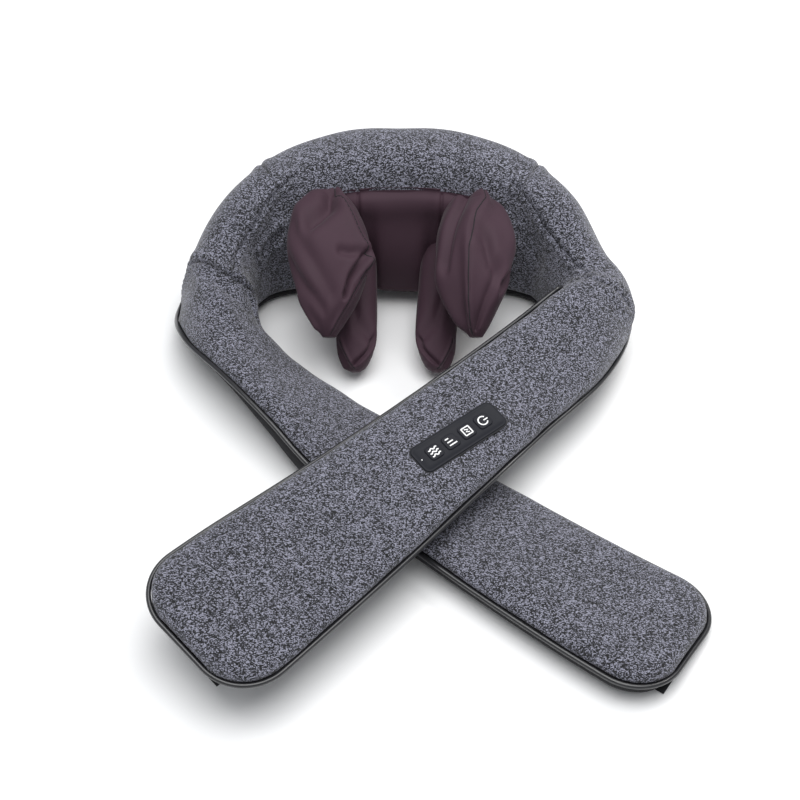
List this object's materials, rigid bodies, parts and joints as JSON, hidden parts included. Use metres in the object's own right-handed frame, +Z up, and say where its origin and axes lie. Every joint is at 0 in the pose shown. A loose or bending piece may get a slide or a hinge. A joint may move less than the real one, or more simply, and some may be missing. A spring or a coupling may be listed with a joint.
{
  "type": "shiatsu neck massager",
  "caption": "Padded knit collar with two crossed padded arms, a key panel on one arm, and a geared shaft rocking two pairs of cloth-covered kneading fingers.",
  "frame": {"origin": "on the surface the collar stands on, straight below the middle of the massage shaft", "axes": "+X towards the arm with the key panel, along the massage shaft; +Y towards the back of the collar; +Z up"},
  "size_m": [0.3971, 0.4951, 0.1281],
  "materials": {
    "knit": "heather knit",
    "lining": "matt woven lining and elastic",
    "foam": "open cell foam",
    "stretch_cloth": "smooth stretch cloth",
    "piping": "gloss piping",
    "black_plastic": "fine moulded texture",
    "slate_plastic": "satin moulded",
    "nylon": "moulded nylon",
    "steel": "machined",
    "bronze": "machined",
    "circuit_board": "solder mask",
    "cell_wrap": "shrink wrap",
    "wire": "silicone insulation",
    "head_rubber": "soft moulded",
    "heater_film": "polyimide film"
  },
  "bodies": {
    "collar": {"cover_back": "knit", "cover_left_shoulder": "knit", "cover_right_shoulder": "knit", "knit_gussets": "knit", "collar_lining": "lining", "collar_foam": "foam", "left_shoulder_foam": "foam", "right_shoulder_foam": "foam", "pouch_panel": "stretch_cloth", "chassis_base": "black_plastic", "spine_frame": "nylon", "gearbox_left": "nylon", "gearbox_right": "nylon", "gearbox_screws": "steel", "shaft_bushes": "bronze", "motor": "steel", "guide_left": "black_plastic", "guide_right": "black_plastic", "battery_cells": "cell_wrap", "main_board": "circuit_board", "board_screws": "steel", "charge_port": "black_plastic", "wire_harness": "wire"},
    "drive_shaft": {"output_shaft": "steel", "worm_wheel": "nylon", "hub_left": "black_plastic", "hub_right": "black_plastic", "shaft_clips": "steel"},
    "motor_rotor": {"worm": "bronze", "rotor_shaft": "steel"},
    "massage_arm_left": {"yoke_left": "nylon", "bearing_left": "steel", "heads_left": "head_rubber", "heater_left": "heater_film", "upper_lobe_left": "stretch_cloth", "lower_lobe_left": "stretch_cloth"},
    "massage_arm_right": {"yoke_right": "nylon", "bearing_right": "steel", "heads_right": "head_rubber", "heater_right": "heater_film", "upper_lobe_right": "stretch_cloth", "lower_lobe_right": "stretch_cloth"},
    "left_arm": {"cover_left_arm": "knit", "foam_left_arm": "foam", "lining_left_arm": "lining", "piping_left_arm": "piping", "strap_left": "lining"},
    "right_arm": {"cover_right_arm": "knit", "foam_right_arm": "foam", "lining_right_arm": "lining", "piping_right_arm": "piping", "strap_right": "lining", "control_tray": "black_plastic", "control_fascia": "slate_plastic", "key_board": "circuit_board"},
    "heat_key": {"key_heat": "slate_plastic"},
    "strength_key": {"key_strength": "slate_plastic"},
    "mode_key": {"key_mode": "slate_plastic"},
    "power_key": {"key_power": "slate_plastic"}
  },
  "joints": [
    {"name": "shaft_turn", "type": "hinge", "parent": "collar", "child": "drive_shaft", "pos_m": [0, 0, 0.064], "axis": [1, 0, 0], "continuous": true},
    {"name": "rotor_turn", "type": "hinge", "parent": "collar", "child": "motor_rotor", "pos_m": [0, 0.0194, 0.064], "axis": [0, 0, 1], "continuous": true},
    {"name": "left_wobble", "type": "hinge", "parent": "drive_shaft", "child": "massage_arm_left", "pos_m": [-0.042, 0, 0.064], "axis": [0.9986, 0, 0.0523], "continuous": true},
    {"name": "right_wobble", "type": "hinge", "parent": "drive_shaft", "child": "massage_arm_right", "pos_m": [0.042, 0, 0.064], "axis": [0.9986, 0, -0.0523], "continuous": true},
    {"name": "left_arm_swing", "type": "hinge", "parent": "collar", "child": "left_arm", "pos_m": [-0.1819, -0.0574, 0.02], "axis": [0, 0, -1], "range_deg": [0, 20], "stiffness_Nm_per_rad": 0.6},
    {"name": "right_arm_swing", "type": "hinge", "parent": "collar", "child": "right_arm", "pos_m": [0.1823, -0.0498, 0.02], "axis": [0, 0, 1], "range_deg": [0, 20], "stiffness_Nm_per_rad": 0.6},
    {"name": "heat_press", "type": "slide", "parent": "right_arm", "child": "heat_key", "axis": [-0.0995, 0.1207, -0.9877], "range_m": [0, 0.0006], "stiffness_N_per_m": 400},
    {"name": "strength_press", "type": "slide", "parent": "right_arm", "child": "strength_key", "axis": [-0.0995, 0.1207, -0.9877], "range_m": [0, 0.0006], "stiffness_N_per_m": 400},
    {"name": "mode_press", "type": "slide", "parent": "right_arm", "child": "mode_key", "axis": [-0.0995, 0.1207, -0.9877], "range_m": [0, 0.0006], "stiffness_N_per_m": 400},
    {"name": "power_press", "type": "slide", "parent": "right_arm", "child": "power_key", "axis": [-0.0995, 0.1207, -0.9877], "range_m": [0, 0.0006], "stiffness_N_per_m": 400}
  ],
  "couplings": [
    {"joint": "rotor_turn", "follows": "shaft_turn", "ratio": -36},
    {"joint": "left_wobble", "follows": "shaft_turn", "ratio": -1},
    {"joint": "right_wobble", "follows": "shaft_turn", "ratio": -1}
  ]
}
